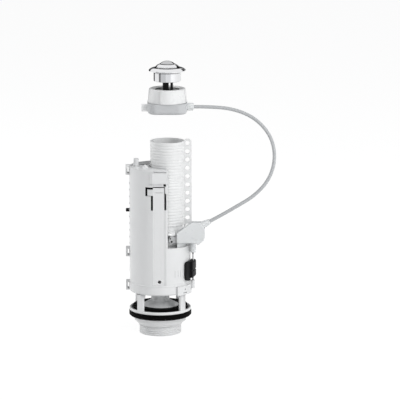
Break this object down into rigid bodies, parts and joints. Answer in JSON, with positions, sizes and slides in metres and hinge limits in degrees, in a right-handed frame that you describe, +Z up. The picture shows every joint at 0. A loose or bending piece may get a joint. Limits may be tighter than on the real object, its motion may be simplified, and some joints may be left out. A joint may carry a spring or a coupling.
{
  "type": "dual flush valve",
  "caption": "Cable-operated dual flush valve for a cistern: threaded outlet with bayonet legs, float tower, ribbed overflow tube, lever box, and a two-button head on a control cable.",
  "frame": {"origin": "on the axis of the threaded tail, at its lower end", "axes": "+Z up along the tail axis, +X to the lever box and the cable loop, -Y to the front with the snap tongue"},
  "size_m": [0.2124, 0.0891, 0.3907],
  "materials": {
    "white_plastic": "satin",
    "bright_plastic": "satin",
    "light_grey_plastic": "satin",
    "mid_grey_plastic": "satin",
    "black_rubber": "matt",
    "black_plastic": "satin",
    "chrome_plate": "polished",
    "steel": "drawn"
  },
  "bodies": {
    "base": {"valve_base": "white_plastic", "flange_washer": "black_rubber"},
    "tower": {"tower_housing": "white_plastic", "chamber_cap": "white_plastic", "lever_box": "white_plastic", "lever_box_cover": "white_plastic", "lever_axle": "steel", "box_ferrule": "white_plastic", "slider_rail": "steel", "head_housing": "light_grey_plastic", "head_ferrule": "light_grey_plastic", "rocker_axle": "steel", "rod_guide": "mid_grey_plastic", "guide_gasket": "black_rubber", "clamp_nut": "bright_plastic", "button_bezel": "chrome_plate", "cable_sheath": "light_grey_plastic", "full_spring": "steel", "half_spring": "steel"},
    "lift": {"lift_tube": "white_plastic", "valve_plate": "light_grey_plastic", "flush_seal": "black_rubber", "seal_retainer": "mid_grey_plastic", "full_flush_float": "white_plastic"},
    "overflow": {"overflow_tube": "bright_plastic"},
    "lever": {"lift_lever": "mid_grey_plastic", "lever_nipple": "steel"},
    "half_float": {"half_flush_float": "black_plastic", "float_stem": "white_plastic", "level_pointer": "black_plastic"},
    "slider": {"volume_slider": "black_plastic"},
    "full_button": {"full_flush_button": "chrome_plate", "full_push_rod": "black_plastic"},
    "half_button": {"half_flush_button": "chrome_plate", "half_push_rod": "black_plastic"},
    "full_rocker": {"full_rocker": "white_plastic", "rocker_nipple": "steel"},
    "half_rocker": {"half_rocker": "white_plastic"}
  },
  "joints": [
    {"name": "bayonet_twist", "type": "hinge", "parent": "base", "child": "tower", "pos_m": [0, 0, 0.066], "axis": [0, 0, 1], "range_deg": [0, 15]},
    {"name": "valve_lift", "type": "slide", "parent": "tower", "child": "lift", "axis": [0, 0, 1], "range_m": [0, 0.012]},
    {"name": "overflow_height", "type": "slide", "parent": "lift", "child": "overflow", "axis": [0, 0, 1], "range_m": [-0.006, 0.022]},
    {"name": "lift_lever_turn", "type": "hinge", "parent": "tower", "child": "lever", "pos_m": [0.05, -0.03, 0.1434], "axis": [0, 1, 0], "range_deg": [0, 20.9]},
    {"name": "half_flush_adjust", "type": "slide", "parent": "tower", "child": "half_float", "axis": [0, 0, 1], "range_m": [-0.012, 0.012]},
    {"name": "full_flush_adjust", "type": "slide", "parent": "tower", "child": "slider", "axis": [0, 0, 1], "range_m": [0, 0.01]},
    {"name": "full_flush_press", "type": "slide", "parent": "tower", "child": "full_button", "axis": [0, 0, -1], "range_m": [0, 0.00602], "stiffness_N_per_m": 100, "springref_m": -0.004, "deforming": ["full_spring"]},
    {"name": "full_rocker_turn", "type": "hinge", "parent": "tower", "child": "full_rocker", "pos_m": [-0.0034, -0.0029, 0.3334], "axis": [0, 1, 0], "range_deg": [0, 33.9]},
    {"name": "half_flush_press", "type": "slide", "parent": "tower", "child": "half_button", "axis": [0, 0, -1], "range_m": [0, 0.005], "stiffness_N_per_m": 100, "springref_m": -0.004, "deforming": ["half_spring"]},
    {"name": "half_rocker_turn", "type": "hinge", "parent": "tower", "child": "half_rocker", "pos_m": [-0.0034, 0.0029, 0.3334], "axis": [0, 1, 0], "range_deg": [0, 14.2]}
  ],
  "couplings": [
    {"joint": "lift_lever_turn", "follows": "valve_lift", "rad_per_m": 30.303},
    {"joint": "full_rocker_turn", "follows": "valve_lift", "rad_per_m": 49.242},
    {"joint": "full_flush_press", "follows": "valve_lift", "ratio": 0.50141},
    {"joint": "half_rocker_turn", "follows": "half_flush_press", "rad_per_m": 49.505}
  ]
}
